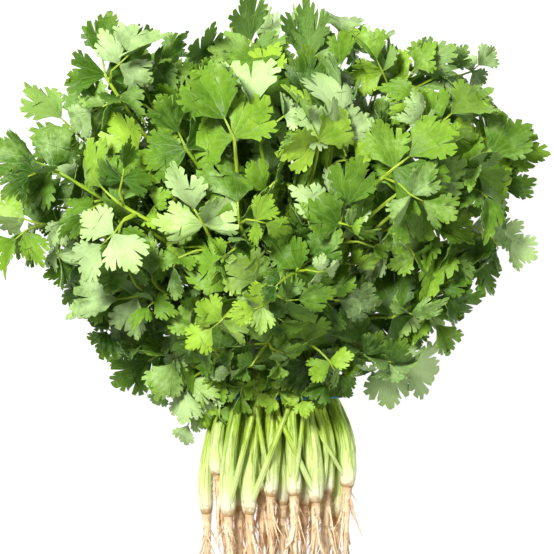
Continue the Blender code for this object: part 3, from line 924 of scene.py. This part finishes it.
for place in SIDE_PLACES:
    for plant in all_plants:
        for way in plant["leaves"]:
            for side in (-1, 1):
                rng = draw("side", plant["index"], way["leaf"], place, side)
                best = None
                for _ in range(SIDE_TRIES):
                    side_way, foot, ahead = side_leaf(way, place, side, rng)
                    points = bent_leaf(side_way, random.Random(rng.random()), 1.35)
                    if not inside_box(points):
                        continue
                    cuts = crossings(points)
                    if best is None or cuts < best[0]:
                        best = (cuts, points, side_way, foot, ahead)
                    if cuts == 0:
                        break
                if best is None or best[0] > (FRONT_CUTS if foot.z > FRONT_FROM else INNER_CUTS):
                    continue
                _, points, side_way, foot, ahead = best
                grow(points)
                tint, wash = tint_and_wash(rng)
                plant_leaves[plant["index"]].append(leaf_copy(points, tint, wash, rng))
                plant_stalks[plant["index"]].append(side_stalk(foot, ahead, side_way, 0.6))

# Leaves that hang over the band: the plant, then X, Y and Z of the leaf's foot in millimetres,
# the way of its tip in degrees round Z, its size, its tint and its painted sheen.
HANGING = (
    (23, 16, 19, 47, -74, 0.86, 0.12, 0.0),
    (22, 4, 16, 44, -104, 0.60, 0.10, 0.0),
    (21, -15, 24, 45, -112, 0.66, 0.60, 0.8),
    (21, -12, 6, 39, -60, 0.40, 1.00, 0.1),
    (22, 1, 3, 39, -118, 0.40, 0.95, 0.0),
    (23, 12, 2, 39, -75, 0.42, 0.90, 0.1),
    (24, 26, 9, 42, -78, 0.60, 0.25, 0.0),
    (19, 38, 20, 30, -48, 0.56, 0.80, 0.0),
    (20, -24, 14, 38, -125, 0.52, 0.55, 0.2),
    (13, -38, 12, 28, -118, 0.60, 0.90, 0.0),
    (13, -37, -2, 24, -96, 0.46, 1.00, 0.0),
    (13, -30, -8, 27, -84, 0.40, 0.75, 0.4),
    (7, -44, 14, 18, -110, 0.50, 0.65, 0.1),
    (20, -18, 5, 39, -98, 0.42, 0.75, 0.1),
    (19, 33, 11, 37, -82, 0.50, 0.30, 0.0),
    (24, 30, 16, 40, -66, 0.55, 0.45, 0.0),
)
for number, (index, x, y, z, heading, size, tint, wash) in enumerate(HANGING):
    rng = draw("hanging", number)
    foot = stem_point(all_plants[index - 1], 0.16)
    base = Vector((x, y, z)) * MM
    turn = math.radians(heading)
    tip = Vector((math.cos(turn), math.sin(turn), -0.12))
    normal = Vector((rng.gauss(x * 0.012, 0.2), rng.gauss(-0.1, 0.2), 1)).normalized()
    stands = Matrix.Translation(base) @ leaf_axes(tip, normal)
    side_way = {"frame": stands, "size": size, "arch": rng.uniform(5, 12)}
    plant_leaves[index].append(leaf_copy(bent_leaf(side_way, rng, 1.2), tint, wash, rng))
    plant_stalks[index].append(side_stalk(foot, Vector((0, 0.3, 0.9)), side_way, 0.8))

# Leaves at the rim of the head: X, Y and Z of a leaf's middle in millimetres, the way of its tip in
# degrees round Z, and its size. Each stands on the nearest stalk that is further in.
RIM_LEAVES = (
    (33, 189, 58, 85, 0.75), (34, 173, 68, 70, 0.70), (52, 184, 55, 70, 0.60), (72, 171, 60, 55, 0.70),
    (90, 170, 52, 40, 0.60), (-50, 162, 62, 110, 0.70), (-40, 173, 55, 100, 0.55),
    (121, 127, 55, 12, 0.80), (117, 108, 62, -10, 0.70), (88, 82, 68, -20, 0.70),
    (92, 66, 60, -30, 0.75), (106, 64, 50, -30, 0.65), (88, 48, 54, -50, 0.75),
    (84, 32, 46, -60, 0.70), (70, 30, 40, -80, 0.60), (-108, 66, 50, 200, 0.65),
    (-100, 48, 46, 215, 0.75), (-92, 30, 40, 230, 0.65), (-56, 11, 36, 250, 0.65),
    (-48, -3, 30, 255, 0.65), (-36, -7, 27, 265, 0.50), (-61, -3, 27, 240, 0.50),
    (-50, 152, 60, 120, 0.75), (-104, 57, 44, 208, 0.80), (50, 158, 66, 70, 0.75),
    (104, 160, 52, 35, 0.75), (106, 172, 46, 40, 0.50), (135, 124, 48, 0, 0.60), (121, 106, 50, -5, 0.65),
    (121, 76, 52, -20, 0.65), (-40, -13, 22, 262, 0.55), (-48, -20, 18, 250, 0.45),
    (-95, 148, 32, 130, 0.85), (-75, 160, 30, 110, 0.85), (-108, 122, 26, 150, 0.85),
    (-90, 104, 22, 160, 0.90), (-102, 84, 24, 180, 0.85), (-72, 62, 20, 200, 0.90),
    (-60, 38, 18, 220, 0.85), (66, 56, 20, -40, 0.90), (84, 96, 24, -10, 0.90),
    (100, 120, 30, 10, 0.90), (62, 148, 28, 50, 0.90), (78, 128, 26, 30, 0.90),
    (20, 172, 30, 80, 0.85), (-22, 176, 30, 95, 0.85), (-50, 120, 20, 120, 0.90),
    (40, 110, 20, 60, 0.90),
)
HEAD_FOOT = Vector((0, 20 * MM, 40 * MM))
RIM_FEET = (0.3, 0.45, 0.6, 0.75, 0.9)  # where on a stalk's way such a leaf may stand
stalk_spots = [
    (bezier(*way["handles"], at), plant["index"])
    for plant in all_plants for way in plant["leaves"] for at in RIM_FEET
]
for number, (x, y, z, heading, size) in enumerate(RIM_LEAVES):
    rng = draw("rim", number)
    turn = math.radians(heading)
    tip = Vector((math.cos(turn), math.sin(turn), rng.gauss(0, 0.2)))
    base = Vector((x, y, z)) * MM - tip * LEAFLET * size * (RIB + 0.3)
    inside = [spot for spot in stalk_spots if (base - spot[0]).dot(spot[0] - HEAD_FOOT) > 0]
    foot, index = min(inside, key=lambda spot: (base - spot[0]).length)
    normal = Vector((rng.gauss(0, 0.3), rng.gauss(0, 0.3), 1))
    stands = Matrix.Translation(base) @ leaf_axes(tip, normal)
    side_way = {"frame": stands, "size": size, "arch": rng.uniform(4, 12)}
    points = bent_leaf(side_way, rng, 1.1)
    plant_leaves[index].append(leaf_copy(points, *tint_and_wash(rng), rng))
    plant_stalks[index].append(side_stalk(foot, tip, side_way, 0.6))

for plant in all_plants:
    index = plant["index"]
    node = f"leafy_stem_{index:02d}"
    stalks = joined(plant_stalks[index], f"stalks_{index:02d}", stalk_finish)
    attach(stalks, "root")
    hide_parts(node)
    leaves = joined(plant_leaves[index], f"leaves_{index:02d}", leaf_face, leaf_back)
    only(leaves)
    wall = leaves.modifiers.new("wall", "SOLIDIFY")
    wall.thickness = LEAF_THICKNESS
    wall.offset = -1
    wall.material_offset = 1
    wall.material_offset_rim = 1
    bpy.ops.object.modifier_apply(modifier=wall.name)
    bpy.ops.object.shade_smooth_by_angle(angle=math.radians(60))
    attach(leaves, "root")
    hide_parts(node)


# ---- Roots ----
# A tapering, pale tap root below each crown, with side roots and fine hairs, stained brown by the
# soil. It is one growth with its plant.

ROOT_GAP = 0.3 * MM
ROOT_LENGTH = (38 * MM, 52 * MM)
ROOT_SHAPE = ((-0.05, 0.80), (0.0, 0.84), (0.25, 0.70), (0.6, 0.38), (1.0, 0.14))
ROOT_DRIFT = 0.05
FORK_REACH = (5 * MM, -19 * MM, 3 * MM)
FORK_RADIUS = (0.9 * MM, 0.4 * MM)
CLEARANCE = 0.25 * MM
ROOT_LOWEST = 0.9 * MM
ROOT_PAST_BOX = 4 * MM
# Side roots, then hairs: how many, how far down the root they start, then their least and most
# spread, length and thickness, the last two in millimetres.
THIN_ROOTS = (
    (5, 0.5, (0.05, 0.25), (18, 34), (0.7, 1.3)),
    (24, 0.85, (0.3, 1.0), (5, 16), (0.20, 0.40)),
)
ROOT_WHITE = (0.92, 0.79, 0.55)
ROOT_PINK = (0.85, 0.56, 0.31)
ROOT_TAN = (0.62, 0.40, 0.18)
ROOT_BROWN = (0.26, 0.13, 0.04)
root_finish, shader, wire = new_finish("coriander_root")
stains = wire.grain(3.5 * MM, 4.0)
rings = streaks_of(wire, 2, 1.6 * MM)
streaks = streaks_of(wire, 8, 12 * MM)
colour = wire.mix(wire.mark("tint") + (streaks - 0.5) * 1.2, ROOT_WHITE, ROOT_PINK)
colour = wire.mix((stains + (streaks - 0.5) * 0.6).step(0.46, 0.74) * 0.8, colour, ROOT_TAN)
colour = wire.mix((stains * 0.6 + rings * 0.5).step(0.58, 0.72) * 0.65, colour, ROOT_BROWN)
crust = (1 - wire.mark("length").step(0.5 * MM, 7 * MM)) * (stains + 0.3)
colour = wire.mix(crust * 0.75, colour, CROWN_BROWN)
feed(shader, "Base Color", colour)
feed(shader, "Roughness", 0.45 + stains * 0.3)
bumped(shader, rings + stains + streaks, 0.7, 0.4 * MM)
root_model = straight_bar("root_model", 12, 14)
thin_models = [straight_bar("side_root_model", 6, 6), straight_bar("hair_model", 3, 4)]


def rooted(foot, way_out, reach, looks):
    """A thin root's line from its foot, bending down as it goes, and off the surface."""
    bend = Vector([looks.gauss(0, 0.15) for _ in range(3)])
    line = [foot + way_out * reach * share + bend * reach * share**2 for share in (0, 0.3, 0.65, 1)]
    for spot in line:
        spot.z = max(spot.z, ROOT_LOWEST)
        spot.y = max(spot.y, cad_box[0][1] - ROOT_PAST_BOX)
    return line


for plant in all_plants:
    index = plant["index"]
    rng = draw("root", index)
    crown, above = base_point(plant, 0.0), base_point(plant, 0.10)
    crown_radius = plant["radius"] * 0.74
    down = (crown - above).normalized()
    length = rng.uniform(*ROOT_LENGTH)
    drift = Vector((rng.uniform(-ROOT_DRIFT, ROOT_DRIFT), 0, rng.uniform(-ROOT_DRIFT, 0)))
    line, radii = [], []
    for along, share in ROOT_SHAPE:
        point = crown + down * (ROOT_GAP + length * along) + drift * length * along**2
        radius = crown_radius * share
        point.z = max(point.z, radius + CLEARANCE)
        line.append(point)
        radii.append(radius)
    start = line[2]
    turn = Matrix.Rotation(rng.uniform(0, math.pi), 3, "Y")
    end = start + turn @ Vector(FORK_REACH)
    end.z = max(end.z, FORK_RADIUS[0] + CLEARANCE)
    half_way = start.lerp(end, 0.5) + (end - start).cross(down) * 0.15
    half_way.z = max(half_way.z, FORK_RADIUS[0] + CLEARANCE)
    looks = draw("root looks", index)
    tint, phase = looks.random(), looks.uniform(0, math.tau)

    def knobbly(turn, along, phase=phase):
        bumps = math.sin(along * 23 + phase) * 0.06 + math.sin(turn * 2 + along * 9 + phase) * 0.07
        return 1 + bumps * min(1, along * 5)

    fork_radii = [FORK_RADIUS[0], FORK_RADIUS[0], FORK_RADIUS[1]]
    pieces = [
        fitted(root_model, line, radii, knobbly, tint=tint),
        fitted(root_model, [start, half_way, end], fork_radii, knobbly, tint=tint),
    ]
    for model, (count, until, spread, reaches, thicks) in zip(thin_models, THIN_ROOTS):
        for _ in range(count):
            at = looks.uniform(0.0, until) * (len(line) - 1)
            foot = line[int(at)].lerp(line[int(at) + 1], at - int(at))
            around = Matrix.Rotation(looks.uniform(0, math.tau), 3, down)
            out = around @ down.orthogonal().normalized()
            way_out = (out * looks.uniform(*spread) + down).normalized()
            reach = looks.uniform(*reaches) * MM
            thick = looks.uniform(*thicks) * MM
            radii = [thick, thick * 0.8, thick * 0.55, thick * 0.2]
            pale = looks.uniform(0, 1)
            pieces.append(fitted(model, rooted(foot, way_out, reach, looks), radii, tint=pale))
    root = joined(pieces, f"rootlets_{index:02d}", root_finish)
    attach(root, "root")
    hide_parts(f"root_{index:02d}")


# ---- Rubber band ----
# A blue rubber band wound twice round the stems, stretched taut between the outer ones. Its own
# pull holds it, so it has no fixing and no free end.

BAND_BLUE = (0.010, 0.20, 0.50)
BAND_DUSTY = (0.09, 0.36, 0.62)
STRAND_PLACES = (-0.95 * MM, 0.95 * MM)
STRAND_RADIUS = 0.66 * MM
ARC_STEPS = 6
band_finish, shader, wire = new_finish("blue_rubber")
dust = wire.grain(1.6 * MM, 4.0)
feed(shader, "Base Color", wire.mix(dust.step(0.35, 0.75), BAND_BLUE, BAND_DUSTY))
feed(shader, "Roughness", 0.35 + dust * 0.2)
bumped(shader, dust, 0.25, 0.15 * MM)
spots = [Vector((plant["band"].x, plant["band"].z)) for plant in all_plants]
corners = [spots[i] for i in convex_hull_2d(spots)]
strands = []
for y in STRAND_PLACES:
    ring = []
    for i, corner in enumerate(corners):
        arrives = corner - corners[i - 1]
        leaves = corners[(i + 1) % len(corners)] - corner
        first = math.atan2(arrives.y, arrives.x) - math.pi / 2
        turn = -arrives.angle_signed(leaves)
        for k in range(ARC_STEPS + 1):
            angle = first + turn * k / ARC_STEPS
            out = Vector((math.cos(angle), math.sin(angle))) * (BAND_REACH + BAND_THICKNESS / 2)
            ring.append(corner + out)
    curve = bpy.data.curves.new("strand", "CURVE")
    curve.dimensions = "3D"
    curve.bevel_depth = STRAND_RADIUS
    curve.bevel_resolution = 2
    spline = curve.splines.new("POLY")
    spline.use_cyclic_u = True
    spline.points.add(len(ring) - 1)
    for spot, point in zip(spline.points, ring):
        spot.co = (point.x, y, point.y, 1)
    only(placed("strand", curve))
    bpy.ops.object.convert(target="MESH")
    strands.append(bpy.context.object)
band = joined(strands, "band_strands", band_finish)
only(band)
bpy.ops.object.shade_smooth()
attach(band, "root")
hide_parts("rubber_band")

for model in (base_model, stalk_model, leaf_pattern, side_model, root_model, *thin_models):
    bpy.data.objects.remove(model)


# ---- Floor, light and camera ----
# A plain white floor, which the bunch only rests on, under soft lamps and seen from straight
# above. None of this belongs to the bunch.

WHITE = (1, 1, 1, 1)
floor_finish, shader, wire = new_finish("white_floor")
feed(shader, "Base Color", (0.22, 0.22, 0.22, 1))
feed(shader, "Roughness", 0.9)
feed(shader, "Specular IOR Level", 0.1)
feed(shader, "Emission Color", WHITE)
feed(shader, "Emission Strength", 0.93)
bpy.ops.mesh.primitive_plane_add(size=6, location=(0, 0.06, 0))
floor = bpy.context.object
floor.name = "floor"
floor.data.materials.append(floor_finish)

world = bpy.data.worlds.new("soft_room")
world.use_nodes = True
feed(world.node_tree.nodes["Background"], "Color", WHITE)
feed(world.node_tree.nodes["Background"], "Strength", 0.19)
bpy.context.scene.world = world
for name, place, size, power in (
    ("key_lamp", (-0.40, 0.50, 0.95), 0.26, 19),
    ("fill_lamp", (0.75, -0.35, 0.75), 0.8, 3.5),
):
    bpy.ops.object.light_add(type="AREA", location=place)
    lamp = bpy.context.object
    lamp.name = name
    lamp.data.size = size
    lamp.data.energy = power
    aim = Vector((0, 0.07, 0.04)) - Vector(place)
    lamp.rotation_mode = "QUATERNION"
    lamp.rotation_quaternion = aim.to_track_quat("-Z", "Y")

bpy.ops.object.camera_add(location=(0, 61.5 * MM, 961 * MM), rotation=(0, 0, 0))
camera = bpy.context.object
camera.data.sensor_width = 36
camera.data.lens = 117
camera.data.clip_start = 0.01
bpy.context.scene.camera = camera
bpy.context.scene.view_settings.view_transform = "Standard"
